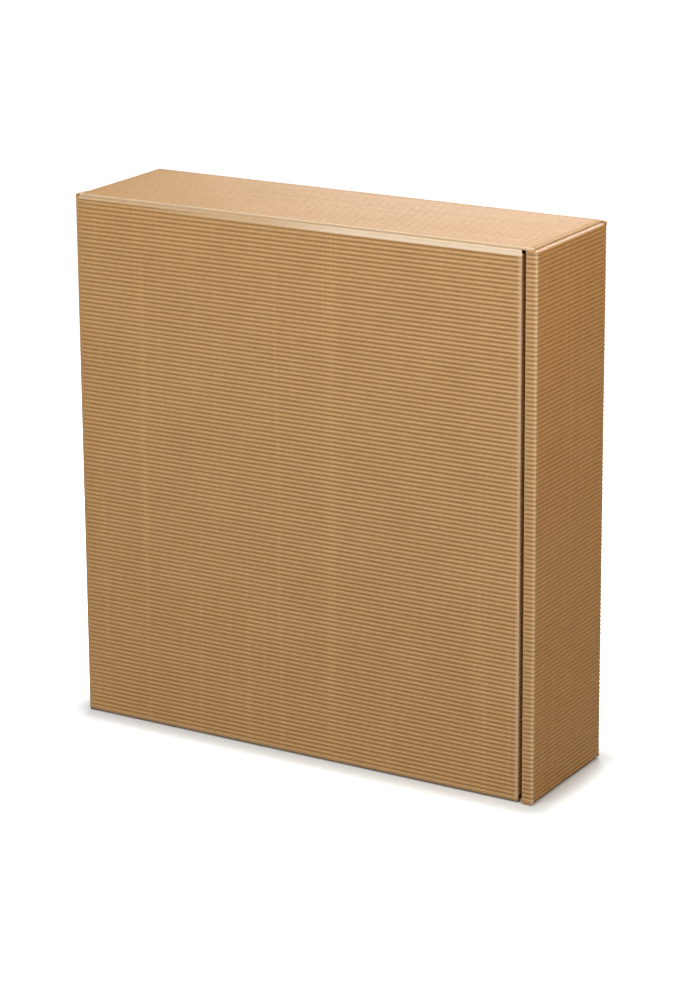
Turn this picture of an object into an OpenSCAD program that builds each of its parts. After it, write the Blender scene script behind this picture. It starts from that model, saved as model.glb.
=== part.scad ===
// Upright presentation carton folded from single-face corrugated board, ribs outside.
// The ribs run level round all four sides and from side to side across both ends.
// The front lid is hinged on the left vertical crease and tucks in behind a slit on
// the right, where a narrow strip forms the edge of a hollow double wall.
// Origin at the middle of the base, front towards -Y, height along +Z.

/* [Carton] */
// Width across the front, over the rib crests
box_w = 351; // [300:1:400]
// Depth from front to back, over the rib crests
box_d = 98; // [80:1:130]
// Height of the standing carton
box_h = 370; // [320:1:420]

/* [Board] */
// Thickness of the board, from inner liner to rib crest
board_t = 1.6; // [1.4:0.1:2]
// Height of a rib above the valleys beside it
rib_h = 1.1; // [0.7:0.1:1.2]
// Wanted spacing of the ribs, fitted to a whole number
rib_pitch = 2.95; // [2.6:0.05:3.6]
// Width of a rib's flat crest
crest_w = 1; // [0.7:0.05:1.2]
// Outer radius of the folds along the ends of the walls
fold_r = 1.8; // [1.5:0.1:2.4]
// Leg of the flat pressed across the ribs along the two front folds at the slit side
corner_cut = 1.25; // [0.6:0.05:1.8]

/* [Closing side] */
// Width of the strip beside the lid, which is the edge of the double wall
strip_w = 9; // [7:0.5:14]
// Open slit between the strip and the lid
slit_w = 2; // [1.6:0.1:3]
// Depth of the lid's tuck flap behind the front
tuck_d = 28; // [20:1:30]
// Step from an ear's inner face to the end of the tuck flap at its fold
tuck_step = 0.5; // [0.3:0.1:6]
// Slant of each end of the tuck flap, from the fold to its free edge
tuck_slant = 9; // [4:1:20]
// Gap that the inner wall leaves at each end of the double wall
inner_wall_gap = 1.5; // [1:0.5:3]

/* [Lid ears] */
// Depth of the two ears that slide in under the end panels
ear_d = 25; // [15:1:30]
// Slant of each end of an ear, from the fold to its free edge
ear_slant = 12; // [6:1:20]
// Distance from the hinge, and from the tuck flap, to the ends of an ear's fold
ear_end = 3; // [3:0.5:8]
// Running clearance between an ear and the end panel outside it
ear_gap = 0.3; // [0.2:0.1:0.5]

/* [Hinge] */
// Reach of the left wall's front end beyond the line that the lid turns about
hinge_nose = 0.3; // [0:0.1:0.5]
// Clearance between the lid's edge and that front end at any angle
hinge_gap = 0.3; // [0.2:0.05:0.5]

/* [End panels] */
// Distance from the carton's side to the cut side edge of the top and base panels
panel_inset = 3.5; // [2.6:0.1:6]
// Distance from the lid's face back to the cut front edge of these panels
panel_setback = 1.3; // [1:0.1:2]
// Length of the dust flaps folded in under these panels
dust_l = 72; // [40:1:120]
// Slant of a dust flap's cut front edge
dust_slant = 6; // [0:1:15]
// Gap between a dust flap and what lies in front of and behind it
dust_gap = 1.2; // [0.8:0.1:3]

/* [Hidden] */

left_x = -box_w / 2;
right_x = box_w / 2;
front_y = -box_d / 2;
back_y = box_d / 2;
cut = 1;

// Ends of the walls, between the two end panels
wall_z0 = board_t;
wall_z1 = box_h - board_t;
// Ends of the ribbed length of every upright wall
ribs_z0 = wall_z0 + fold_r;
ribs_z1 = wall_z1 - fold_r;

// Line that the lid turns about, in the middle of the board
hinge_x = left_x + board_t / 2;
hinge_y = front_y + board_t / 2;

// Faces of the lid, the slit and the inner wall
lid_x0 = hinge_x + norm([board_t / 2, hinge_nose]) + hinge_gap;
inner_wall_x = right_x - strip_w;
lid_x1 = inner_wall_x - slit_w;
lid_z0 = wall_z0 + ear_gap;
lid_z1 = wall_z1 - ear_gap;

// Edges of the top and base panels
panel_x = right_x - panel_inset;
panel_y = front_y + panel_setback;

// A straight ribbed stretch from a to b: points [along, down], where down is 0 on a
// crest and rib_h in a valley. The stretch starts and ends with a full flank.
function rib_count(a, b) = round((b - a - crest_w) / rib_pitch) - 1;
function rib_step(a, b) = (b - a + crest_w) / (rib_count(a, b) + 1);
function crest(c) = [[c - crest_w / 2, 0], [c + crest_w / 2, 0]];
function first_crest(a) = a - crest_w / 2;
function ribs(a, b) = [
    [a, 0],
    [first_crest(a) + rib_step(a, b) / 2, rib_h],
    for (i = [1 : rib_count(a, b)]) each [
        each crest(first_crest(a) + i * rib_step(a, b)),
        [first_crest(a) + (i + 0.5) * rib_step(a, b), rib_h]
    ],
    [b, 0]
];
function reversed(list) = [for (i = [len(list) - 1 : -1 : 0]) list[i]];

// Outline points of a ribbed side that is walked along +Z or -Z, or along an end
function side_up(x, sign) = [for (p = ribs(ribs_z0, ribs_z1)) [x - sign * p[1], p[0]]];
function side_down(x, sign) = reversed(side_up(x, sign));
function base_run(a, b) = [for (p = ribs(a, b)) [p[0], p[1]]];
function top_run(a, b, z) = reversed([for (p = ribs(a, b)) [p[0], z - p[1]]]);

// Points of a fold's arc about c, from angle a0 to a1, its two ends included
arc_steps = 3;
function arc(c, r, a0, a1) = [
    for (i = [0 : arc_steps])
        let (a = a0 + (a1 - a0) * i / arc_steps) [c[0] + r * cos(a), c[1] + r * sin(a)]
];

// Extrusions of an outline drawn in Y and Z, or in X and Z
module along_x(x0, x1) {
    translate([x0, 0, 0])
        rotate([90, 0, 90])
            linear_extrude(height = x1 - x0)
                children();
}

module along_y(y0, y1) {
    translate([0, y1, 0])
        rotate([90, 0, 0])
            linear_extrude(height = y1 - y0)
                children();
}

module block(p0, p1) {
    translate(p0)
        cube(p1 - p0);
}

// Carton seen from the side: end panels, back and strip, all ribbed
module tray_side_outline() {
    fold_y = back_y - fold_r;
    polygon([
        [panel_y, 0],
        each base_run(panel_y + crest_w, fold_y),
        each arc([fold_y, fold_r], fold_r, -90, 0),
        each side_up(back_y, 1),
        each arc([fold_y, box_h - fold_r], fold_r, 0, 90),
        each top_run(panel_y + crest_w, fold_y, box_h),
        [panel_y, box_h],
        [panel_y, wall_z1],
        [front_y, wall_z1],
        each side_down(front_y, -1),
        [front_y, wall_z0],
        [panel_y, wall_z0]
    ]);
}

// Carton seen from the front: ribbed sides, folded over under the end panels
module tray_front_outline() {
    fold_x = right_x - fold_r;
    polygon([
        [-panel_x, 0],
        [panel_x, 0],
        [panel_x, wall_z0],
        each arc([fold_x, ribs_z0], fold_r, -90, 0),
        each side_up(right_x, 1),
        each arc([fold_x, ribs_z1], fold_r, 0, 90),
        [panel_x, wall_z1],
        [panel_x, box_h],
        [-panel_x, box_h],
        [-panel_x, wall_z1],
        each arc([-fold_x, ribs_z1], fold_r, 90, 180),
        each side_down(left_x, -1),
        each arc([-fold_x, ribs_z0], fold_r, 180, 270),
        [-panel_x, wall_z0]
    ]);
}

// Plan of the carton, with a flat pressed along the strip's outer fold
module tray_plan() {
    polygon([
        [left_x, front_y],
        [right_x - corner_cut, front_y],
        [right_x, front_y + corner_cut],
        [right_x, back_y],
        [left_x, back_y]
    ]);
}

// Room inside, seen from the front, with the ribs of the inner wall on its right
module room_outline() {
    polygon([
        [left_x + board_t, wall_z0],
        [inner_wall_x, wall_z0],
        each side_up(inner_wall_x, -1),
        [inner_wall_x, wall_z1],
        [left_x + board_t, wall_z1]
    ]);
}

// Hollow of the double wall, open past both ends of the inner wall
module double_wall_hollow() {
    x0 = inner_wall_x + board_t;
    x1 = right_x - board_t;
    y0 = front_y + board_t;
    y1 = back_y - board_t;
    dust_z0 = wall_z0 + board_t;
    dust_z1 = wall_z1 - board_t;
    block([x0, y0, wall_z0], [x1, y1, wall_z1]);
    for (z = [[wall_z0, dust_z0 + inner_wall_gap], [dust_z1 - inner_wall_gap, wall_z1]])
        block([inner_wall_x - cut, y0, z[0]], [x0 + cut, y1, z[1]]);
}

// Plan of the dust flaps, cut back in front to let the lid's ears slide in
module dust_plan() {
    ear_y = front_y + ear_d + dust_gap;
    end_y = back_y - board_t - dust_gap;
    polygon([
        [right_x - board_t / 2, front_y + board_t / 2],
        [right_x - board_t / 2, end_y],
        [right_x - dust_l, end_y],
        [right_x - dust_l, ear_y + dust_slant],
        [inner_wall_x, ear_y],
        [inner_wall_x, front_y + board_t / 2]
    ]);
    polygon([
        [left_x + board_t / 2, ear_y],
        [left_x + dust_l, ear_y + dust_slant],
        [left_x + dust_l, end_y],
        [left_x + board_t / 2, end_y]
    ]);
}

module tray() {
    color([0.76, 0.6, 0.42]) {
        difference() {
            intersection() {
                along_x(left_x, right_x)
                    tray_side_outline();
                along_y(front_y, back_y)
                    tray_front_outline();
                linear_extrude(height = box_h)
                    tray_plan();
            }
            along_y(front_y - cut, back_y - board_t)
                room_outline();
            double_wall_hollow();
            block(
                [left_x - cut, front_y - cut, wall_z0],
                [left_x + board_t + cut, hinge_y - hinge_nose, wall_z1]
            );
        }
        for (z = [wall_z0, wall_z1 - board_t])
            translate([0, 0, z])
                linear_extrude(height = board_t)
                    dust_plan();
    }
}

// Lid seen from the side: ribbed front, folded back into an ear at each end
module lid_side_outline() {
    r = fold_r - ear_gap;
    fold_y = front_y + r;
    end_y = front_y + tuck_d;
    polygon([
        each arc([fold_y, ribs_z0], r, 180, 270),
        each [for (p = ribs(fold_y, end_y)) [p[0], lid_z0 + p[1]]],
        each top_run(fold_y, end_y, lid_z1),
        each arc([fold_y, ribs_z1], r, 90, 180),
        each side_down(front_y, -1)
    ]);
}

// Lid seen from the front, with the ribs of the tuck flap on its right
module lid_front_outline() {
    polygon([
        [lid_x0, lid_z0],
        [lid_x1, lid_z0],
        each side_up(lid_x1, 1),
        [lid_x1, lid_z1],
        [lid_x0, lid_z1]
    ]);
}

// Plan of the lid, with a flat pressed along its fold towards the tuck flap
module lid_plan() {
    end_y = front_y + tuck_d;
    polygon([
        [lid_x0, front_y],
        [lid_x1 - corner_cut, front_y],
        [lid_x1, front_y + corner_cut],
        [lid_x1, end_y],
        [lid_x0, end_y]
    ]);
}

// Plan of what is cut from the lid's ends to leave two slanted ears
module ear_waste() {
    x0 = lid_x0 + ear_end;
    x1 = lid_x1 - board_t - ear_end;
    y0 = front_y + board_t;
    y1 = front_y + ear_d;
    difference() {
        translate([lid_x0 - cut, y0])
            square([lid_x1 - lid_x0 + 2 * cut, tuck_d]);
        polygon([
            [x0, y0 - cut],
            [x0, y0],
            [x0 + ear_slant, y1],
            [x1 - ear_slant, y1],
            [x1, y0],
            [x1, y0 - cut]
        ]);
    }
}

// What is cut from the tuck flap past its two slanted ends, seen from the side
module tuck_waste() {
    y0 = front_y + board_t;
    y1 = front_y + tuck_d;
    for (end = [[lid_z0, 1], [lid_z1, -1]]) {
        z0 = end[0] + end[1] * (board_t + tuck_step);
        z1 = z0 + end[1] * tuck_slant;
        z_out = end[0] - end[1] * cut;
        polygon([[y0, z_out], [y0, z0], [y1, z1], [y1 + cut, z1], [y1 + cut, z_out]]);
    }
}

module lid() {
    y0 = front_y + board_t;
    ear_z0 = lid_z0 + board_t;
    ear_z1 = lid_z1 - board_t;
    color([0.73, 0.57, 0.39])
        difference() {
            intersection() {
                along_x(lid_x0, lid_x1)
                    lid_side_outline();
                along_y(front_y, front_y + tuck_d)
                    lid_front_outline();
                linear_extrude(height = box_h)
                    lid_plan();
            }
            block([lid_x0 - cut, y0, ear_z0], [lid_x1 - board_t, front_y + tuck_d + cut, ear_z1]);
            along_x(lid_x1 - board_t, right_x)
                tuck_waste();
            for (z = [[0, ear_z0], [ear_z1, box_h]])
                translate([0, 0, z[0]])
                    linear_extrude(height = z[1] - z[0])
                        ear_waste();
        }
}

tray();
lid();
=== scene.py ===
import math

import bpy
import numpy as np
from mathutils import Matrix, Vector


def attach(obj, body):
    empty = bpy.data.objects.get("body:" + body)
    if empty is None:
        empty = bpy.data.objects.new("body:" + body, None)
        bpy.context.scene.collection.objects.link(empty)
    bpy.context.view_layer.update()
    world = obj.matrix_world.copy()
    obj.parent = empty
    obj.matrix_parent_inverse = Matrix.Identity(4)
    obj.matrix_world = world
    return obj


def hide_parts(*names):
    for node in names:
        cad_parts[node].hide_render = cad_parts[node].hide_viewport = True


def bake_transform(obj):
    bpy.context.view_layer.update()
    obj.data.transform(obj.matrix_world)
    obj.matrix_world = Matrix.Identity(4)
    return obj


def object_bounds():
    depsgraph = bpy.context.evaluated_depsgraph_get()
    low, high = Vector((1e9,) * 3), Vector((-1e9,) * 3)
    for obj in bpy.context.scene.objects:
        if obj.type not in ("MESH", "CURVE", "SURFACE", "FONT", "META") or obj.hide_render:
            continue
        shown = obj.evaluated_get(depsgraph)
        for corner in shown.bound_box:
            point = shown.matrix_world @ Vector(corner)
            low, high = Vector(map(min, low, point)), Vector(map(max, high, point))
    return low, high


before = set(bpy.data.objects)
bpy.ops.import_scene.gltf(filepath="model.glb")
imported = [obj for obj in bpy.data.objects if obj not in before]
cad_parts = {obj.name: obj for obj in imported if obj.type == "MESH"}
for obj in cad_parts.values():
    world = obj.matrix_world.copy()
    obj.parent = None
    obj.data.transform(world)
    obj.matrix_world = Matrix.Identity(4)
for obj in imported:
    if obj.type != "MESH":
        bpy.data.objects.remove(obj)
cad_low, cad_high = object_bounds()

# Sizes are in mm, and the frame is that of the solids, in metres: x runs along the width to the
# slit side, y from the lid to the back, and z up.
MM = 1000
LEFT, RIGHT = cad_low.x * MM, cad_high.x * MM
FRONT, BACK = cad_low.y * MM, cad_high.y * MM
HEIGHT = cad_high.z * MM

# The sheet: a smooth liner inside and open flutes outside
BOARD = 1.6  # thickness over the ribs
PAPER = 0.25  # thickness of one paper, at a cut end
TUNNEL = 7.0  # how far a hollow flute goes in from a cut end
RIB = 0.62  # depth of the valleys on the walls and the lid
END_RIB = 0.45  # the same on the end panels
CUT_RIB = 1.0  # the same at the end panels' cut ends
RIB_COUNT = 123  # ribs on a wall
RIB_STEPS = 8  # rows of points to a rib
BEYOND = 0.5  # how far past the ribs the next crest would lie
ROW_CLEAR = 0.1  # least distance of a row of points from the end of the ribs
END_PITCH = 2.95  # wanted width of a rib on the end panels

# Folds, by the radius of their outer skin
FOLD = 1.8  # from the walls to the end panels and dust flaps
CORNER = 1.9  # upright corners of the tray
HINGE_FOLD = 1.7  # upright corner that the lid turns on
LIP = 1.4  # both sides of the slit
BEND_REACH = 2.5  # how far before the slit the lid's folds grow narrower
BEAD = 1.6  # half the width of the lid's bottom fold, which bulges down
ARC_STEPS = 6
HINGE_PRESS = 0.85  # how strongly the crease at the hinge presses the ribs flat

# Lid, slit and strip
STRIP = 9.0  # strip right of the slit, as wide as the hollow double wall
SLIT = 2.0  # width of the slit behind its rounded edges
HINGE_GAP = 0.3  # clearance of the hinge
TUCK_DEPTH = 28.0  # tuck flap, from the front to its edge
TUCK_STEP = 0.5  # from an ear to the tuck flap's end at the fold
TUCK_SLANT = 9.0  # how much shorter the tuck flap is at its edge, at each end
EAR_DEPTH = 25.0  # ear, from the front to its edge
EAR_SLANT = 12.0  # how much narrower the ear is at its edge, at each side
EAR_END = 3.0  # from the end of the lid to the ear's side
EAR_GAP = 0.15  # between an ear and its end panel
BAND = 2.6  # height of the pressed band along the lid's top fold

# End panels and dust flaps
INSET = 3.5  # from a side wall to an end panel's cut end
SETBACK = 1.3  # from the front to the top panel's edge
BASE_SETBACK = 3.8  # from the front to the base panel's edge
DUST_LENGTH = 72.0  # dust flap, from the side wall to its edge
DUST_SLANT = 6.0  # how far the dust flap's front edge runs back
DUST_GAP = 1.2  # from a dust flap to the lid's ear and to the back wall

# Raw edges of the walls
RAISED = 1.2  # how far they stand over the wall's top at the right back corner
RAISED_LEFT = 0.4  # the same at the left back corner
TIP = 0.6  # from the floor to the front ones, and from the hinge's upper one to the top

WALL0, WALL1 = BOARD, HEIGHT - BOARD
RIBS0, RIBS1 = WALL0 + FOLD, WALL1 - FOLD
PITCH = (RIBS1 - RIBS0 + 2 * BEYOND) / RIB_COUNT
HINGE_X, HINGE_Y = LEFT + BOARD / 2, FRONT + BOARD / 2
WALL_START = HINGE_Y + 1.2
LID0 = HINGE_X + math.hypot(BOARD / 2, HINGE_GAP) + HINGE_GAP
LID_START = LID0 + 0.4
INNER = RIGHT - STRIP
LID1 = INNER - SLIT
LID_BEND = LID1 - LIP
PANEL = RIGHT - INSET
DUST_FRONT, DUST_BACK = FRONT + EAR_DEPTH + DUST_GAP, BACK - BOARD - DUST_GAP
TUCK_END = WALL0 + EAR_GAP + BOARD + TUCK_STEP
ROUNDING = 1e-6

# Places in a piece's list of materials
OUTSIDE, INSIDE = 0, 1


# Curves and small forms

def arc(cx, cy, r, a0, a1, steps):
    """Points and outward normals of an arc in a plane, its ends included. Angles are in degrees."""
    out = []
    for k in range(steps + 1):
        a = math.radians(a0 + (a1 - a0) * k / steps)
        out.append((cx + r * math.cos(a), cy + r * math.sin(a), math.cos(a), math.sin(a)))
    return out


def line(x0, y0, x1, y1, nx, ny, steps):
    """Points and normals of a straight run without its ends."""
    return [
        (x0 + (x1 - x0) * k / steps, y0 + (y1 - y0) * k / steps, nx, ny)
        for k in range(1, steps)
    ]


def lengths(path):
    """Length from the start of a path to each of its points."""
    p = np.array([q[:2] for q in path])
    return np.concatenate([[0], np.cumsum(np.linalg.norm(np.diff(p, axis=0), axis=1))])


def smooth(t):
    """0 up to t = 0, 1 from t = 1, and a smooth step between."""
    t = np.clip(t, 0, 1)
    return t * t * (3 - 2 * t)


def wave(phase):
    """0 on a crest, 1 in a valley. Crests are a little wider than valleys."""
    return 1 - (0.5 + 0.5 * np.cos(2 * np.pi * phase)) ** 0.9


def unevenness(count, columns, seed, size):
    """Small smooth differences from rib to rib and along each rib, at the given columns."""
    spacing, before, after = 38.0, 40, 80
    along_share, rib_share = 0.6, 0.5
    random = np.random.default_rng(seed)
    knots = np.arange(columns.min() - before, columns.max() + after, spacing)
    values = random.normal(0, size, (count, len(knots))) * along_share
    values += random.normal(0, size, (count, 1)) * rib_share
    at = (columns - knots[0]) / spacing
    knot = np.floor(at).astype(int)
    t = smooth(at - knot)
    return values[:, knot] * (1 - t) + values[:, knot + 1] * t


# Rows of points on a wall, and how many ribs up each lies, counted from a crest below the ribs
ROWS = RIBS0 - BEYOND + PITCH * np.arange(1, RIB_STEPS * RIB_COUNT) / RIB_STEPS
ROWS = ROWS[(ROWS > RIBS0 + ROW_CLEAR) & (ROWS < RIBS1 - ROW_CLEAR)]
ROWS = np.concatenate([[RIBS0], ROWS, [RIBS1]])
ROW_PHASE = (ROWS - RIBS0 + BEYOND) / PITCH


def wall_depth(along, press, seed):
    """Depth of the ribbed skin below its crests, for columns along a wall by ROWS.

    press says for each column how far a crease flattens the ribs there, from 0 to 1.
    """
    height_change, shift_change = 0.035, 0.010
    pressed_level, run_out = 0.42, 0.6
    rib = np.clip(np.round(ROW_PHASE - 0.5).astype(int), 0, RIB_COUNT)
    uneven = unevenness(RIB_COUNT + 1, along, seed, height_change)[rib].T
    shift = unevenness(RIB_COUNT + 1, along, seed + 50, shift_change)[rib].T
    press = press[:, None]
    height = np.clip(RIB * (1 - press) * (1 + uneven), 0, RIB)
    ends = np.minimum(smooth((ROWS - RIBS0) / run_out), smooth((RIBS1 - ROWS) / run_out))
    return pressed_level * press + height * wave(ROW_PHASE + shift) * ends


def sweep(path, depth, rows):
    """Points of a wall: path gives plan points and normals, and depth how far in each point is."""
    p = np.array([q[:2] for q in path])
    n = np.array([q[2:4] for q in path])
    xy = p[:, None, :] - n[:, None, :] * depth[:, :, None]
    z = np.broadcast_to(rows, depth.shape)
    return np.concatenate([xy, z[:, :, None]], 2)


def liner_rows(low, high):
    """Rows for the smooth inside, which needs only a few."""
    margin, count = 6, 9
    return np.concatenate([[low], np.linspace(low + margin, high - margin, count), [high]])


def open_end(outer, inner, into):
    """Hollow flutes at a cut end, as grids, each with the strength of the highlight painted on it.

    outer and inner are matching lines of points on the two faces, and into points along the flutes.
    """
    # The rims of a cut end get a painted highlight
    thinnest, rim_highlight = 0.02, 0.8
    tunnel = np.array(into, float) * TUNNEL
    down = inner - outer
    thick = np.linalg.norm(down, axis=1, keepdims=True)
    down = down / np.maximum(thick, ROUNDING)
    room = np.maximum(thick - PAPER, thinnest)
    under = outer + down * np.minimum(PAPER, room)
    top = inner - down * np.minimum(PAPER, room * 0.98)
    return [
        (np.stack([outer, under]), rim_highlight),
        (np.stack([under, under + tunnel]), 0.0),
        (np.stack([under + tunnel, top + tunnel]), 0.0),
        (np.stack([top + tunnel, top]), 0.0),
        (np.stack([top, inner]), rim_highlight),
    ]


# Meshes

def shelf_corners(sizes, side, gap):
    """Corners of rectangles that stand in rows on a square map, or nothing if they don't fit."""
    corners = []
    x = y = gap
    row = 0
    for width, height in sizes:
        if x + width + gap > side:
            x, y, row = gap, y + row + gap, 0
        if y + height + gap > side or width + 2 * gap > side:
            return None
        corners.append((x, y))
        x += width + gap
        row = max(row, height)
    return corners


def shelves(rects, gap=3.0):
    """Places for rectangles on a square map, from the tallest down, and the square's side."""
    growth = 1.03
    sizes = [(min(r), max(r)) for r in rects]
    side = math.sqrt(sum((width + gap) * (height + gap) for width, height in sizes))
    side = max(side, max(height for _, height in sizes) + 2 * gap)
    order = sorted(range(len(rects)), key=lambda k: -sizes[k][1])
    corners = shelf_corners([sizes[k] for k in order], side, gap)
    while corners is None:
        side *= growth
        corners = shelf_corners([sizes[k] for k in order], side, gap)
    places = [None] * len(rects)
    for k, (x, y) in zip(order, corners):
        turned = rects[k][0] > rects[k][1]
        places[k] = (x, y, turned)
    return places, side


def steps_along(points, axis):
    """Mean lengths of a grid's steps in one of its two directions."""
    return np.linalg.norm(np.diff(points, axis=axis), axis=2).mean(1 - axis)


def grid_quads(count_u, count_v, flip):
    """Corner numbers of a grid's quads."""
    i, j = np.meshgrid(np.arange(count_u - 1), np.arange(count_v - 1), indexing="ij")
    first = (i * count_v + j).ravel()
    quads = np.stack([first, first + count_v, first + count_v + 1, first + 1], 1)
    return quads[:, ::-1] if flip else quads


def grid_uv(points, place, side):
    """UV places of a grid's points, laid out at its place on the square map."""
    x, y, turned = place
    u = np.concatenate([[0], np.cumsum(steps_along(points, 0))])
    v = np.concatenate([[0], np.cumsum(steps_along(points, 1))])
    u, v = np.meshgrid(u, v, indexing="ij")
    flat = np.stack([v.ravel(), u.ravel()] if turned else [u.ravel(), v.ravel()], 1)
    return (flat + [x, y]) / side


class Sheet:
    """Grids of points in mm, gathered into one mesh. Each grid has its own part of the UV map."""

    def __init__(self, name):
        self.name = name
        self.grids = []

    def add(self, points, flip=False, slot=OUTSIDE, worn=0.0):
        """The last value says how far the paper is painted pale as a highlight: one number, or one
        for each point.
        """
        points = np.asarray(points, float)
        self.grids.append((points, flip, slot, np.broadcast_to(worn, points.shape[:2])))

    def add_end(self, points, upside_down, flip=False, slot=OUTSIDE, worn=0.0):
        """Adds a grid at the top, or its mirror image at the base."""
        points = np.array(points, float)
        if upside_down:
            points[..., 2] = HEIGHT - points[..., 2]
        self.add(points, flip != upside_down, slot, worn)

    def make(self):
        """Puts the grids into the scene as one piece, with points that meet joined."""
        places, side = shelves(
            [(steps_along(g[0], 0).sum(), steps_along(g[0], 1).sum()) for g in self.grids]
        )
        verts, faces, uvs, slots, worn = [], [], [], [], []
        start = 0
        for (points, flip, slot, pale), place in zip(self.grids, places):
            quads = grid_quads(*points.shape[:2], flip)
            verts.append(points.reshape(-1, 3))
            worn.append(pale.ravel())
            faces.append(quads + start)
            uvs.append(grid_uv(points, place, side)[quads])
            slots.append(np.full(len(quads), slot))
            start += len(verts[-1])
        verts, faces, worn = np.concatenate(verts), np.concatenate(faces), np.concatenate(worn)
        joined_per_mm = 2000
        keys = np.round(verts * joined_per_mm).astype(np.int64)
        _, first, joined = np.unique(keys, axis=0, return_index=True, return_inverse=True)
        joined = joined.ravel()
        palest = np.zeros(len(first))
        np.maximum.at(palest, joined, worn)
        uvs, slots = np.concatenate(uvs), np.concatenate(slots)
        return self.piece(verts[first], joined[faces], uvs, slots, palest)

    def piece(self, verts, faces, uvs, slots, worn):
        """The object in the scene. A quad that closed to a line is left out of it."""
        corners = 1 + (np.diff(np.sort(faces, 1), axis=1) > 0).sum(1)
        whole = corners == 4
        loops, loop_uvs = [faces[whole].ravel()], [uvs[whole].reshape(-1, 2)]
        totals, kept_slots = [np.full(whole.sum(), 4)], [slots[whole]]
        for k in np.nonzero(corners == 3)[0]:
            pick = [c for c in range(4) if faces[k][c] != faces[k][c - 1]]
            loops.append(faces[k][pick])
            loop_uvs.append(uvs[k][pick])
            totals.append(np.array([3]))
            kept_slots.append(slots[k : k + 1])
        loops, totals = np.concatenate(loops), np.concatenate(totals)
        starts = np.concatenate([[0], np.cumsum(totals)[:-1]])
        mesh = bpy.data.meshes.new(self.name)
        mesh.vertices.add(len(verts))
        mesh.vertices.foreach_set("co", (verts / MM).astype(np.float32).ravel())
        mesh.loops.add(len(loops))
        mesh.loops.foreach_set("vertex_index", loops.astype(np.int32))
        mesh.polygons.add(len(totals))
        mesh.polygons.foreach_set("loop_start", starts.astype(np.int32))
        mesh.polygons.foreach_set("loop_total", totals.astype(np.int32))
        mesh.polygons.foreach_set("material_index", np.concatenate(kept_slots).astype(np.int32))
        mesh.update(calc_edges=True)
        layer = mesh.uv_layers.new(name="OFBake")
        layer.data.foreach_set("uv", np.concatenate(loop_uvs).astype(np.float32).ravel())
        # The painted highlight goes to the mesh as a point attribute
        highlight_layer = mesh.attributes.new("worn", "FLOAT", "POINT")
        highlight_layer.data.foreach_set("value", worn.astype(np.float32))
        mesh.polygons.foreach_set("use_smooth", np.ones(len(totals), bool))
        sharp_from = 62
        mesh.set_sharp_from_angle(angle=math.radians(sharp_from))
        for material in (FLUTES, LINER):
            mesh.materials.append(material)
        made = bpy.data.objects.new(self.name, mesh)
        bpy.context.scene.collection.objects.link(made)
        return made


# Materials

def node(tree, kind, **values):
    """A new node, laid out to the right of those before it."""
    made = tree.nodes.new(kind)
    made.location = (220 * len(tree.nodes), 0)
    for key, value in values.items():
        setattr(made, key, value)
    return made


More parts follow.
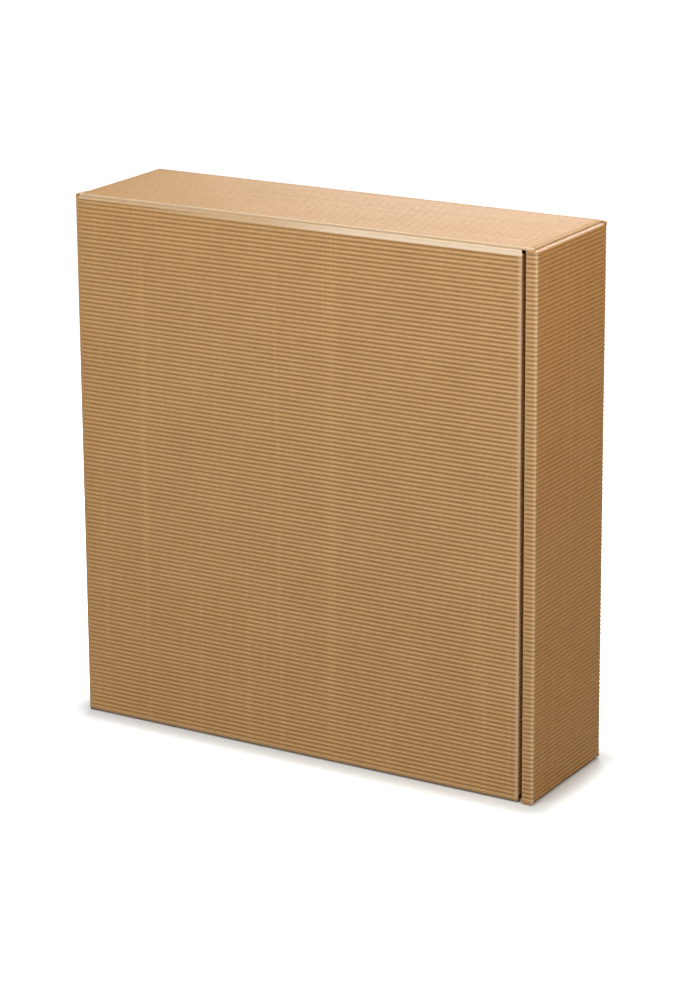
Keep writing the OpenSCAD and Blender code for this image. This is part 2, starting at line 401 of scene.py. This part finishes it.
def kraft(name, base, light, dark, bump, streak):
    """Uncoated kraft paper: cloudy tone, level fibres, dark specks, a fine tooth and a painted
    highlight where the mesh asks for one.

    bump is the strength of the tooth, and streak that of the pale upright bands.
    """
    material = bpy.data.materials.new(name)
    material.use_nodes = True
    tree = material.node_tree
    tree.nodes.clear()
    place = node(tree, "ShaderNodeTexCoord")

    def noise(scale, stretch, detail, rough):
        mapping = node(tree, "ShaderNodeMapping")
        mapping.inputs["Scale"].default_value = stretch
        tree.links.new(place.outputs["Object"], mapping.inputs["Vector"])
        made = node(tree, "ShaderNodeTexNoise")
        made.inputs["Scale"].default_value = scale
        made.inputs["Detail"].default_value = detail
        made.inputs["Roughness"].default_value = rough
        tree.links.new(mapping.outputs[0], made.inputs["Vector"])
        return made.outputs["Fac"]

    def ramp(source, seen, to):
        """Turns the range seen in source into the range to."""
        made = node(tree, "ShaderNodeMapRange")
        for socket, value in zip(("From Min", "From Max", "To Min", "To Max"), (*seen, *to)):
            made.inputs[socket].default_value = value
        tree.links.new(source, made.inputs["Value"])
        return made.outputs[0]

    def mix(factor, first, second):
        made = node(tree, "ShaderNodeMix", data_type="RGBA")
        tree.links.new(factor, made.inputs["Factor"])
        for socket, value in (("A", first), ("B", second)):
            target = [s for s in made.inputs if s.name == socket and s.type == "RGBA"][0]
            if isinstance(value, tuple):
                target.default_value = (*value, 1)
            else:
                tree.links.new(value, target)
        return [s for s in made.outputs if s.type == "RGBA"][0]

    cloud = noise(scale=22, stretch=(1, 1, 1), detail=3, rough=0.55)
    fibre = noise(scale=420, stretch=(1, 1, 2.6), detail=4, rough=0.7)
    strand = noise(scale=1500, stretch=(1, 1, 5), detail=2, rough=0.6)
    bands = noise(scale=130, stretch=(1, 1, 0.012), detail=3, rough=0.75)
    speck = noise(scale=1100, stretch=(1, 1, 1.6), detail=2, rough=0.5)
    colour = mix(ramp(cloud, seen=(0.32, 0.68), to=(0.35, 0.65)), base, light)
    colour = mix(ramp(fibre, seen=(0.35, 0.7), to=(0.0, 0.42)), colour, dark)
    colour = mix(ramp(strand, seen=(0.55, 0.75), to=(0.0, 0.28)), colour, light)
    colour = mix(ramp(bands, seen=(0.56, 0.74), to=(0.0, streak)), colour, light)
    speck_tone = tuple(c * 0.45 for c in dark)
    colour = mix(ramp(speck, seen=(0.69, 0.76), to=(0.0, 0.45)), colour, speck_tone)

    # Painted highlight: along folds, creases and cut edges the colour is mixed toward a pale tone, in
    # fine patches
    highlight_tone = (0.78, 0.61, 0.44)
    worn = node(tree, "ShaderNodeAttribute", attribute_name="worn")
    patchy = node(tree, "ShaderNodeMath", operation="MULTIPLY")
    tree.links.new(worn.outputs["Fac"], patchy.inputs[0])
    tree.links.new(ramp(fibre, seen=(0.3, 0.6), to=(0.8, 1.0)), patchy.inputs[1])
    colour = mix(patchy.outputs[0], colour, highlight_tone)

    skin = node(tree, "ShaderNodeBsdfPrincipled")
    tree.links.new(colour, skin.inputs["Base Color"])
    tree.links.new(ramp(fibre, seen=(0.3, 0.7), to=(0.5, 0.64)), skin.inputs["Roughness"])
    skin.inputs["Specular IOR Level"].default_value = 0.6
    tooth = node(tree, "ShaderNodeBump")
    tooth.inputs["Strength"].default_value = bump
    tooth.inputs["Distance"].default_value = 0.0001
    tree.links.new(strand, tooth.inputs["Height"])
    tree.links.new(tooth.outputs[0], skin.inputs["Normal"])
    out = node(tree, "ShaderNodeOutputMaterial")
    tree.links.new(skin.outputs[0], out.inputs["Surface"])
    return material


FLUTES = kraft(
    "kraft_flutes",
    base=(0.44, 0.224, 0.067),
    light=(0.53, 0.29, 0.098),
    dark=(0.32, 0.15, 0.04),
    bump=0.35,
    streak=0.8,
)
LINER = kraft(
    "kraft_liner",
    base=(0.46, 0.24, 0.085),
    light=(0.54, 0.30, 0.12),
    dark=(0.36, 0.17, 0.052),
    bump=0.2,
    streak=0.1,
)


# Walls of the tray

def tray_path():
    """Plan of the walls, from the hinge round the back and the strip to the inner wall's end."""
    path = [(LEFT, WALL_START + y, -1, 0) for y in (0.0, 0.8, 1.8)]
    path += line(LEFT, path[-1][1], LEFT, DUST_FRONT, -1, 0, 3) + [(LEFT, DUST_FRONT, -1, 0)]
    path += line(LEFT, DUST_FRONT, LEFT, DUST_BACK, -1, 0, 6) + [(LEFT, DUST_BACK, -1, 0)]
    path += arc(LEFT + CORNER, BACK - CORNER, CORNER, 180, 90, ARC_STEPS)
    path += [(-PANEL, BACK, 0, 1)] + line(-PANEL, BACK, PANEL, BACK, 0, 1, 22) + [(PANEL, BACK, 0, 1)]
    path += arc(RIGHT - CORNER, BACK - CORNER, CORNER, 90, 0, ARC_STEPS)
    pressed_from = FRONT + CORNER + 2.0
    path += [(RIGHT, DUST_BACK, 1, 0)] + line(RIGHT, DUST_BACK, RIGHT, pressed_from, 1, 0, 9)
    path += [(RIGHT, pressed_from, 1, 0)]
    path += line(RIGHT, pressed_from, RIGHT, FRONT + CORNER, 1, 0, 2)
    path += arc(RIGHT - CORNER, FRONT + CORNER, CORNER, 0, -90, ARC_STEPS)
    path += line(RIGHT - CORNER, FRONT, INNER + LIP, FRONT, 0, -1, 4)
    path += arc(INNER + LIP, FRONT + LIP, LIP, -90, -180, ARC_STEPS)
    path += line(INNER, FRONT + LIP, INNER, BACK - BOARD, -1, 0, 7) + [(INNER, BACK - BOARD, -1, 0)]
    return path


def raw_runs(folded):
    """First and last column of each stretch that isn't folded over, with one more at each side."""
    last = len(folded) - 1
    runs = []
    for k in np.nonzero(~folded)[0]:
        if runs and runs[-1][1] >= k:
            runs[-1][1] = min(k + 1, last)
        else:
            runs.append([max(k - 1, 0), min(k + 1, last)])
    return runs


def tray_walls():
    """All walls of the tray as one sheet, with their plan and depths for the hinge fold."""
    sheet = Sheet("carton_walls")
    path = tray_path()
    x, y, normal_x, _ = np.array(path).T

    def near(place, reach):
        return smooth(1 - np.hypot(x - place[0], y - place[1]) / reach)

    # Creases press the ribs flat: how strongly each does, and how far around it
    back_left, back_right = (LEFT + 0.5, BACK - 0.5), (RIGHT - 0.5, BACK - 0.5)
    front_right, slit = (RIGHT - 0.5, FRONT + 0.5), (INNER + 0.5, FRONT + 0.5)
    along = lengths(path)
    hinge_flat, hinge_reach = 0.6, 2.2
    press = HINGE_PRESS * smooth(1 - (along - hinge_flat) / hinge_reach)
    for place, strength, reach in (
        (back_left, 0.35, 2.6),
        (back_right, 0.35, 2.6),
        (front_right, 0.45, 2.8),
        (slit, 0.85, 2.9),
    ):
        press = np.maximum(press, strength * near(place, reach))
    depth = wall_depth(along, press, seed=11)
    # Painted highlight along the strip's right fold and the slit's fold
    worn = np.maximum(0.4 * near(front_right, 2.2), 0.25 * near(slit, 2.0))[:, None]
    sheet.add(sweep(path, depth, ROWS), flip=True, worn=worn)

    # Above and below the ribs the side walls fold over to their dust flaps and the back wall
    # to the end panels. Elsewhere the wall ends in a raw edge, which is longer at some corners.
    folded = (np.abs(x) > RIGHT - ROUNDING) & (np.abs(normal_x) > 0.99)
    folded &= (y <= DUST_BACK + ROUNDING) & ((x > 0) | (y >= DUST_FRONT - ROUNDING))
    folded |= (y > BACK - ROUNDING) & (np.abs(x) < PANEL + ROUNDING)
    back_run, hinge_end, hinge_run = 1.2, 4, 16
    at_back = smooth((y - DUST_BACK) / back_run) * (np.abs(x) > PANEL - ROUNDING)
    at_hinge = smooth(1 - (y - FRONT - hinge_end) / hinge_run) * (x < 0)
    at_strip = smooth(1 - (y - FRONT) / CORNER) * (x > 0)
    rise = np.where(x > 0, RAISED, RAISED_LEFT) * at_back + (WALL0 - TIP) * at_hinge
    drop = (WALL0 - TIP) * np.maximum(at_hinge, at_strip)
    for top in (True, False):
        start = RIBS1 if top else RIBS0
        edge = WALL1 + rise if top else WALL0 - drop
        for first, last in raw_runs(folded):
            run = slice(first, last + 1)
            rows = start + (edge[run] - start)[:, None] * np.linspace(0, 1, 5)
            skin = np.repeat(depth[run, -1 if top else 0][:, None], 5, 1)
            sheet.add(sweep(path[run], skin, rows), flip=top, worn=worn[run])
            rim = rows[:, -1:]
            outer = sweep(path[run], skin[:, -1:], rim)
            inner = sweep(path[run], np.full(rim.shape, BOARD), rim)
            sheet.add(np.concatenate([outer, inner], 1), flip=top)

    # Inner face of the sheet
    rows = np.repeat(liner_rows(WALL0, WALL1)[None, :], len(path), 0)
    rows[:, -1] += rise
    rows[:, 0] -= drop
    sheet.add(sweep(path, np.full(rows.shape, BOARD), rows), slot=INSIDE)
    return sheet, path, depth


# End panels

def panel_profile(front):
    """The top panel in side view, from the back wall over the fold to its edge at y = front.

    Each row holds y, z, the normal and the depth of the ribbed skin.
    """
    fold_y, fold_z = BACK - FOLD, HEIGHT - FOLD
    rounded, clear = 1.0, 0.05
    edge = front + rounded
    count = round((fold_y - edge - 2 * BEYOND) / END_PITCH)
    pitch = (fold_y - edge + 2 * BEYOND) / count
    out = [(BACK, RIBS1, 1, 0, 0.0), (BACK, (RIBS1 + fold_z) / 2, 1, 0, 0.0)]
    out += [(*q, 0.0) for q in arc(fold_y, fold_z, FOLD, 0, 90, ARC_STEPS)]
    ys = fold_y + BEYOND - pitch * np.arange(1, RIB_STEPS * count) / RIB_STEPS
    for y in ys[(ys < fold_y - clear) & (ys > edge + clear)]:
        ends = smooth((fold_y - y) / 0.6) * smooth((y - edge) / 0.5)
        depth = END_RIB * float(wave((fold_y + BEYOND - y) / pitch) * ends)
        out.append((y, HEIGHT, 0, 1, depth))
    for back, depth in ((rounded, 0.0), (0.35, 0.02), (0.08, 0.16), (0.0, 0.42)):
        out.append((front + back, HEIGHT, 0, 1, depth))
    return np.array(out)


def end_panel(name, upside_down, seed):
    """The top or the base panel, with hollow flutes at its cut ends."""
    sheet = Sheet(name)
    setback = BASE_SETBACK if upside_down else SETBACK
    y, z, normal_y, normal_z, depth = panel_profile(FRONT + setback).T
    at_cut = np.array([0.0, 1.2, 2.4, 3.6])
    between = PANEL - 5
    xs = np.concatenate([at_cut - PANEL, np.linspace(-between, between, 24), PANEL - at_cut[::-1]])

    # The ribs keep their full depth only at the cut ends.
    cut_reach = 4
    full = 1 + (CUT_RIB / END_RIB - 1) * smooth(1 - (PANEL - np.abs(xs)) / cut_reach)
    most_ribs, uneven_width, uneven_size = 40, 3.0, 0.04
    rib = np.clip(((BACK - y) / uneven_width).astype(int), 0, most_ribs)
    uneven = unevenness(most_ribs + 1, xs, seed, uneven_size)[rib].T
    depth = np.clip(depth * (1 + uneven), 0, END_RIB) * full[:, None]
    across = np.repeat(xs[:, None], len(y), 1)
    outer = np.stack([across, y - normal_y * depth, z - normal_z * depth], 2)
    below = [np.broadcast_to(v, across.shape) for v in (y - normal_y * BOARD, z - normal_z * BOARD)]
    inner = np.stack([across, *below], 2)
    # Painted highlight on the last rows before the front edge, on the cut ends' columns and on the
    # front edge's face
    worn = np.zeros(across.shape)
    worn[:, -4:] = 0.5
    worn[[0, -1]] = 0.8
    sheet.add_end(outer, upside_down, flip=True, worn=worn)
    sheet.add_end(inner[:, 2:], upside_down, slot=INSIDE)
    sheet.add_end(np.stack([outer[:, -1], inner[:, -1]], 1), upside_down, flip=True, worn=0.4)
    for k, into in ((0, (1, 0, 0)), (-1, (-1, 0, 0))):
        for points, rim_highlight in open_end(outer[k], inner[k], into):
            sheet.add_end(points, upside_down, flip=k == -1, worn=rim_highlight)
    return sheet


# Dust flaps

def dust_flap(name, right, upside_down):
    """A flap that folds over from its side wall and runs in under the end panel."""
    sheet = Sheet(name)
    sign = 1 if right else -1
    fold_x, edge_x = RIGHT - FOLD, RIGHT - DUST_LENGTH
    rows = arc(fold_x, RIBS1, FOLD, 0, 90, ARC_STEPS)
    # A faint painted highlight along the fold
    pale = [0.0, 0.0, 0.0, 0.04, 0.08, 0.08, 0.04]
    rows += line(fold_x, WALL1, PANEL, WALL1, 0, 1, 2)
    rows += line(PANEL, WALL1, edge_x, WALL1, 0, 1, 14) + [(edge_x, WALL1, 0, 1)]
    pale += [0.0] * (len(rows) - len(pale))
    root = INNER if right else RIGHT
    outer, inner = [], []
    for x, z, normal_x, normal_z in rows:
        front = DUST_FRONT + DUST_SLANT * np.clip((root - x) / (root - edge_x), 0, 1)
        if right and x > INNER:
            front = FRONT + BOARD
        ys = np.linspace(front, DUST_BACK, 12)
        outer.append([(sign * x, y, z) for y in ys])
        inner.append([(sign * (x - normal_x * BOARD), y, z - normal_z * BOARD) for y in ys])
    outer, inner = np.array(outer), np.array(inner)
    sheet.add_end(outer, upside_down, flip=right, worn=np.array(pale)[:, None])
    sheet.add_end(inner, upside_down, flip=not right, slot=INSIDE)
    sheet.add_end(np.stack([outer[-1], inner[-1]]), upside_down, flip=right)
    sheet.add_end(np.stack([outer[:, 0], inner[:, 0]], 1), upside_down, flip=not right)
    sheet.add_end(np.stack([outer[:, -1], inner[:, -1]], 1), upside_down, flip=right)
    return sheet


# Lid

def lid_path():
    """Plan of the lid from the hinge over the bend and back along the tuck flap.

    The second value says how many of the points belong to the front and the bend.
    """
    pressed_from = LID_BEND - BEND_REACH
    front = [(LID_START + x, FRONT, 0, -1) for x in (0.0, 0.6, 1.2, 2.0)]
    front += line(front[-1][0], FRONT, pressed_from, FRONT, 0, -1, 30)
    front += [(pressed_from, FRONT, 0, -1)] + line(pressed_from, FRONT, LID_BEND, FRONT, 0, -1, 4)
    front += arc(LID_BEND, FRONT + LIP, LIP, -90, 0, ARC_STEPS)
    tuck = line(LID1, FRONT + LIP, LID1, FRONT + TUCK_DEPTH, 1, 0, 9)
    tuck += [(LID1, FRONT + TUCK_DEPTH, 1, 0)]
    return front + tuck, len(front)


def tuck_flap(sheet, path, depth, worn):
    """Full ribs in the middle, and a patch out to the slanted cut at each end."""
    y = np.array([q[1] for q in path])
    out = np.clip((y - FRONT - BOARD) / (TUCK_DEPTH - BOARD), 0, 1)
    low, high = TUCK_END + TUCK_SLANT, HEIGHT - TUCK_END - TUCK_SLANT
    rows = np.concatenate([[low], ROWS[(ROWS > low) & (ROWS < high)], [high]])
    skin = np.array([np.interp(rows, ROWS, d) for d in depth])
    outer = sweep(path, skin, rows)
    inner = sweep(path, np.full(skin.shape, BOARD), rows)
    sheet.add(outer, worn=worn)
    sheet.add(inner[:, [0, -1]], flip=True, slot=INSIDE)
    for points, rim_highlight in open_end(outer[-1], inner[-1], (0, -1, 0)):
        sheet.add(points, worn=rim_highlight)
    cut = TUCK_END + TUCK_SLANT * out[:, None]
    patch = cut + (low - cut) * np.linspace(0, 1, 41)
    for top, rows in ((False, patch), (True, HEIGHT - patch)):
        skin = np.array([np.interp(z, ROWS, d) for z, d in zip(rows, depth)])
        outer = sweep(path, skin, rows)
        inner = sweep(path, np.full(rows.shape, BOARD), rows)
        sheet.add(outer, flip=top, worn=worn)
        sheet.add(inner[:, [0, -1]], flip=not top, slot=INSIDE)
        sheet.add(np.stack([outer[:, 0], inner[:, 0]], 1), flip=not top)


def lid_fold(sheet, upside_down, front, skin, worn):
    """The fold along the lid's top or bottom, with its ear, drawn as at the top.

    skin is the depth where the ribs end, and the last argument the highlight painted there, for each
    column.
    """
    fold = FOLD - EAR_GAP
    if upside_down:
        # The bottom fold bulges down to near the floor and comes back up.
        bulge = RIBS0 - TIP
        last = math.degrees(math.asin(fold / bulge))
        round_part = arc(0, 0, 1, 180, last, 2 * ARC_STEPS)
        turn = np.array([(FRONT + BEAD * (1 + c), RIBS1 + bulge * s) for _, _, c, s in round_part])
        # A faint painted highlight along the bottom fold
        worn = 0.1
    else:
        turn = np.array([q[:2] for q in arc(FRONT + fold, RIBS1, fold, 180, 90, ARC_STEPS)])
        # A painted highlight along the top fold
        worn = np.maximum(worn, 0.3) * np.ones(len(turn))
    back_off = turn[:, 0] - FRONT
    plan, normal = np.array(front)[:, None, :2], np.array(front)[:, None, 2:]
    narrow = smooth((plan[:, :, 0] - LID_BEND + BEND_REACH) / BEND_REACH)
    at_bend = np.minimum(back_off * LIP / back_off[-1], LIP)
    back_off = back_off * (1 - narrow) + at_bend * narrow
    inward = back_off + skin * np.linspace(1, 0, len(turn))
    level = np.broadcast_to(turn[:, 1], back_off.shape)
    outer = np.concatenate([plan - normal * inward[:, :, None], level[:, :, None]], 2)
    sheet.add_end(outer, upside_down, worn=worn)
    under = outer[:, -1] - [0, 0, BOARD]
    sheet.add_end(np.stack([outer[:, -1], under], 1), upside_down)
    lid_ear(sheet, upside_down, turn[-1][0])


def lid_ear(sheet, upside_down, start_y):
    """The ribbed flap behind a fold, which narrows to its edge."""
    ribs, columns, run_in = 8, 16, 0.6
    ys = np.linspace(0, FRONT + EAR_DEPTH - start_y, ribs * RIB_STEPS + 1)
    share = ys / ys[-1]
    x0, x1 = LID0 + EAR_END + share * EAR_SLANT, LID1 - BOARD - EAR_END - share * EAR_SLANT
    level = WALL1 - EAR_GAP
    outer = np.zeros((columns, len(ys), 3))
    outer[:, :, 0] = x0 + (x1 - x0) * np.linspace(0, 1, columns)[:, None]
    outer[:, :, 1] = start_y + ys
    outer[:, :, 2] = level - RIB * wave(share * ribs) * smooth(ys / run_in)
    inner = outer.copy()
    inner[:, :, 2] = level - BOARD
    sheet.add_end(outer, upside_down)
    sheet.add_end(inner[:, [0, -1]], upside_down, flip=True, slot=INSIDE)
    sheet.add_end(np.stack([outer[:, -1], inner[:, -1]], 1), upside_down)
    sheet.add_end(np.stack([outer[0], inner[0]]), upside_down, flip=True)
    sheet.add_end(np.stack([outer[-1], inner[-1]]), upside_down)


def lid_sheet():
    """The lid as one sheet, with its plan and depths for the hinge fold."""
    sheet = Sheet("front_lid")
    path, count = lid_path()
    front, tuck = path[:count], path[count - 1 :]
    x, y = np.array([q[:2] for q in path]).T
    bend_core, bend_reach, hinge_reach = 0.6, 2.4, 2.0
    from_bend = np.hypot(x - (LID1 - bend_core), y - (FRONT + bend_core))
    creased = smooth(1 - (from_bend - bend_core) / bend_reach)
    at_hinge = smooth(1 - (x - LID_START) / hinge_reach) * (x < LID_BEND)
    press = np.maximum(0.86 * creased, HINGE_PRESS * at_hinge)
    depth = wall_depth(lengths(path), press, seed=21)

    # Along the top fold the last valley is pressed flat and leans in, least at the hinge.
    leaning, press_start, press_run = 0.7, 40, 90
    share = 0.85 * smooth((x - LEFT - press_start) / press_run)[:, None]
    up_band = ROWS - (RIBS1 - BAND)
    band = smooth(up_band / 0.9)
    lean = leaning * np.clip(up_band / BAND, 0, 1) ** 1.6
    depth = depth * (1 - share * band) + share * lean

    # The lowest rib is a little flatter.
    low_band, low_flattened = 3.0, 0.15
    depth *= 1 - low_flattened * smooth((RIBS0 + low_band - ROWS) / 0.8)

    # Painted highlight: the colour is made pale along the top fold, most to the right, and less along
    # the bend's creases.
    highlight_start, highlight_run = 140, 80
    top_highlight = 0.35 + 0.6 * smooth((x - LEFT - highlight_start) / highlight_run)[:, None]
    at_creases = 0.4 * creased[:, None]
    worn = np.maximum(top_highlight * share * band, at_creases)
    sheet.add(sweep(front, depth[:count], ROWS), worn=worn[:count])
    tuck_flap(sheet, tuck, depth[count - 1 :], at_creases[count - 1 :])

    # Liner of the front, and the raw ends of its bend above and below the tuck flap
    rows = liner_rows(RIBS0, RIBS1)
    sheet.add(sweep(front, np.full((count, len(rows)), BOARD), rows), flip=True, slot=INSIDE)
    overlap = 0.4
    for raw in (ROWS >= HEIGHT - TUCK_END - overlap, ROWS <= TUCK_END + overlap):
        outer = sweep(front[-1:], depth[count - 1 : count, raw], ROWS[raw])[0]
        inner = sweep(front[-1:], np.full((1, raw.sum()), BOARD), ROWS[raw])[0]
        sheet.add(np.stack([outer, inner]))
    for upside_down, end in ((False, -1), (True, 0)):
        lid_fold(sheet, upside_down, front, depth[:count, end][:, None], worn[:count, end][:, None])
    return sheet, path, depth


walls, wall_path, wall_depths = tray_walls()
lid, front_path, lid_depths = lid_sheet()
tray_pieces = [walls.make()]
tray_pieces.append(end_panel("top_panel", upside_down=False, seed=31).make())
tray_pieces.append(end_panel("base_panel", upside_down=True, seed=32).make())
for upside_down, level in ((False, "top"), (True, "base")):
    for right, hand in ((True, "right"), (False, "left")):
        tray_pieces.append(dust_flap(f"dust_flap_{level}_{hand}", right, upside_down).make())
for piece in tray_pieces:
    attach(piece, "tray")
    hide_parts("tray")
lid_piece = lid.make()
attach(lid_piece, "lid")
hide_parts("lid")


# Hinge fold

def hinge_fold():
    """The creased sheet between the left wall and the lid."""
    sheet = Sheet("hinge_fold")
    wall_y, lid_x = wall_path[0][1], front_path[0][0]
    path = [(LEFT, wall_y, -1, 0)] + line(LEFT, wall_y, LEFT, FRONT + HINGE_FOLD, -1, 0, 2)
    path += arc(LEFT + HINGE_FOLD, FRONT + HINGE_FOLD, HINGE_FOLD, 180, 270, 2 * ARC_STEPS)
    path += line(LEFT + HINGE_FOLD, FRONT, lid_x, FRONT, 0, -1, 5) + [(lid_x, FRONT, 0, -1)]
    share = (lengths(path) / lengths(path)[-1])[:, None]
    depth = wall_depths[:1] * (1 - share) + lid_depths[:1] * share

    # Past the ribs the fold goes on to its raw ends, which are pressed in a little.
    end_rows, pressed_in = np.array([TIP, TIP + 0.5, WALL0 + 0.6]), 0.25
    rows = np.concatenate([end_rows, ROWS, HEIGHT - end_rows[::-1]])
    depth = np.concatenate([depth[:, [0] * 3], depth, depth[:, [-1] * 3]], 1)
    depth[:, [0, -1]] += pressed_in
    outer = sweep(path, depth, rows)
    inner = sweep(path, np.full((len(path), 2), BOARD), rows[[0, -1]])
    sheet.add(outer)
    sheet.add(inner, flip=True, slot=INSIDE)
    for k in (0, -1):
        sheet.add(np.stack([outer[:, k], inner[:, k]], 1), flip=k == 0)
    piece = sheet.make()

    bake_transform(piece)


hinge_fold()


# Floor, light and camera

def studio_floor():
    """A pale floor. For the camera it glows to white, except close to the carton, where it stays grey
    as painted shade.
    """
    mesh = bpy.data.meshes.new("floor")
    mesh.from_pydata([(-8, -8, 0), (8, -8, 0), (8, 8, 0), (-8, 8, 0)], [], [(0, 1, 2, 3)])
    floor = bpy.data.objects.new("floor", mesh)
    bpy.context.scene.collection.objects.link(floor)
    material = bpy.data.materials.new("studio_floor")
    material.use_nodes = True
    tree = material.node_tree
    skin = tree.nodes["Principled BSDF"]
    skin.inputs["Roughness"].default_value = 0.9
    skin.inputs["Specular IOR Level"].default_value = 0.0
    ray = node(tree, "ShaderNodeLightPath")

    # The glow grows with the distance from the carton's outline. Close to it the floor stays grey,
    # painted shade around the carton, and the carton's real shadow shows in it.
    half_outline = (RIGHT / MM, BACK / MM, 0.0)
    glow_reach = 0.038
    away = node(tree, "ShaderNodeTexCoord").outputs["Object"]
    for kind, value in (("ABSOLUTE", None), ("SUBTRACT", half_outline), ("MAXIMUM", (0, 0, 0))):
        step = node(tree, "ShaderNodeVectorMath", operation=kind)
        tree.links.new(away, step.inputs[0])
        if value:
            step.inputs[1].default_value = value
        away = step.outputs[0]
    distance = node(tree, "ShaderNodeVectorMath", operation="LENGTH")
    tree.links.new(away, distance.inputs[0])
    far = node(tree, "ShaderNodeMapRange", interpolation_type="SMOOTHSTEP")
    far.inputs["From Max"].default_value = glow_reach
    tree.links.new(distance.outputs["Value"], far.inputs["Value"])
    glow = node(tree, "ShaderNodeMath", operation="MULTIPLY")
    tree.links.new(ray.outputs["Is Camera Ray"], glow.inputs[0])
    tree.links.new(far.outputs[0], glow.inputs[1])
    skin.inputs["Emission Color"].default_value = (1, 1, 1, 1)
    tree.links.new(glow.outputs[0], skin.inputs["Emission Strength"])

    # It is darker for the light that it throws back at the carton than for the camera.
    tone = node(tree, "ShaderNodeMapRange")
    tone.inputs["To Min"].default_value = 0.35
    tone.inputs["To Max"].default_value = 0.71
    tree.links.new(ray.outputs["Is Camera Ray"], tone.inputs["Value"])
    tree.links.new(tone.outputs[0], skin.inputs["Base Color"])
    mesh.materials.append(material)


# Wide glows of the room, in front and low behind on the left: direction, sharpness, strength, tint
GLOWS = (
    ((0, -1, 0.2), 1, 0.26, (1.0, 0.99, 0.98)),
    ((-0.5, 0.85, 0.25), 6, 0.3, (0.95, 0.98, 1.07)),
)


def studio_room():
    """A white background for the camera, and the glows for all other rays."""
    world = bpy.data.worlds.new("studio")
    bpy.context.scene.world = world
    world.use_nodes = True
    tree = world.node_tree
    tree.nodes.clear()
    place = node(tree, "ShaderNodeTexCoord")
    total = node(tree, "ShaderNodeVectorMath", operation="ADD")
    for k, (towards, sharpness, strength, tint) in enumerate(GLOWS):
        facing = node(tree, "ShaderNodeVectorMath", operation="DOT_PRODUCT")
        tree.links.new(place.outputs["Generated"], facing.inputs[0])
        facing.inputs[1].default_value = Vector(towards).normalized()
        lit = node(tree, "ShaderNodeMath", operation="MAXIMUM")
        tree.links.new(facing.outputs["Value"], lit.inputs[0])
        lit.inputs[1].default_value = 0
        lobe = node(tree, "ShaderNodeMath", operation="POWER")
        tree.links.new(lit.outputs[0], lobe.inputs[0])
        lobe.inputs[1].default_value = sharpness
        glow = node(tree, "ShaderNodeVectorMath", operation="SCALE")
        glow.inputs[0].default_value = [strength * c for c in tint]
        tree.links.new(lobe.outputs[0], glow.inputs["Scale"])
        tree.links.new(glow.outputs[0], total.inputs[k])
    light = node(tree, "ShaderNodeBackground")
    tree.links.new(total.outputs[0], light.inputs["Color"])
    seen = node(tree, "ShaderNodeBackground")
    seen.inputs["Strength"].default_value = 1.0
    seen.inputs["Color"].default_value = (1, 1, 1, 1)
    ray = node(tree, "ShaderNodeLightPath")
    both = node(tree, "ShaderNodeMixShader")
    tree.links.new(ray.outputs["Is Camera Ray"], both.inputs[0])
    tree.links.new(light.outputs[0], both.inputs[1])
    tree.links.new(seen.outputs[0], both.inputs[2])
    out = node(tree, "ShaderNodeOutputWorld")
    tree.links.new(both.outputs[0], out.inputs["Surface"])


# Soft boxes: name, place, what each points at, width and height, power in watts, tint
LAMPS = (
    ("key", (-0.08, -0.80, 0.98), (0, 0, 0.2), (0.8, 0.7), 4.2, (0.90, 1.05, 1.05)),
    ("key_low", (-0.08, -1.00, 0.85), (0, 0, 0.2), (1.2, 1.0), 7.5, (0.96, 0.98, 1.08)),
    ("side_above", (0.75, -0.20, 0.85), (0.17, 0, 0.3), (0.4, 0.5), 5.2, (1.12, 1.0, 0.84)),
    ("back", (-0.15, 0.8, 0.8), (0.1, 0, 0.37), (0.9, 0.4), 12.4, (0.92, 1.0, 1.06)),
    ("left", (-1.2, 0.15, 0.62), (-0.1, 0, 0.2), (0.6, 0.6), 3, (1, 1, 1)),
)


def soft_box(name, place, target, size, power, tint):
    data = bpy.data.lights.new(name, "AREA")
    data.shape = "RECTANGLE"
    data.size, data.size_y = size
    data.energy = power
    data.color = tint
    made = bpy.data.objects.new(name, data)
    bpy.context.scene.collection.objects.link(made)
    made.location = place
    made.rotation_mode = "QUATERNION"
    made.rotation_quaternion = (Vector(target) - Vector(place)).to_track_quat("-Z", "Y")


def camera():
    """The photograph's view. It looks a little more down than the photograph, with less shift."""
    from_corner = Vector((1.2470, -1.7316, 0.8165))
    yaw, pitch, roll = math.radians(30.97), math.radians(14.68), math.radians(-0.4)
    focal_pixels, picture_pixels, sensor = 3224.1, 1000, 36
    place = from_corner + Vector((LEFT / MM, FRONT / MM, 0))
    level = math.cos(pitch)
    ahead = Vector((-math.sin(yaw) * level, math.cos(yaw) * level, -math.sin(pitch)))
    right = Vector((math.cos(yaw), math.sin(yaw), 0))
    up = right.cross(ahead)
    across = right * math.cos(roll) + up * math.sin(roll)
    above = up * math.cos(roll) - right * math.sin(roll)
    data = bpy.data.cameras.new("camera")
    data.sensor_width = sensor
    data.lens = focal_pixels / picture_pixels * sensor
    data.shift_y = -0.15
    data.clip_start, data.clip_end = 0.05, 60
    made = bpy.data.objects.new("camera", data)
    bpy.context.scene.collection.objects.link(made)
    made.matrix_world = Matrix((
        (across.x, above.x, -ahead.x, place.x),
        (across.y, above.y, -ahead.y, place.y),
        (across.z, above.z, -ahead.z, place.z),
        (0, 0, 0, 1),
    ))
    bpy.context.scene.camera = made


studio_floor()
studio_room()
for lamp in LAMPS:
    soft_box(*lamp)
camera()
bpy.context.scene.view_settings.view_transform = "Standard"
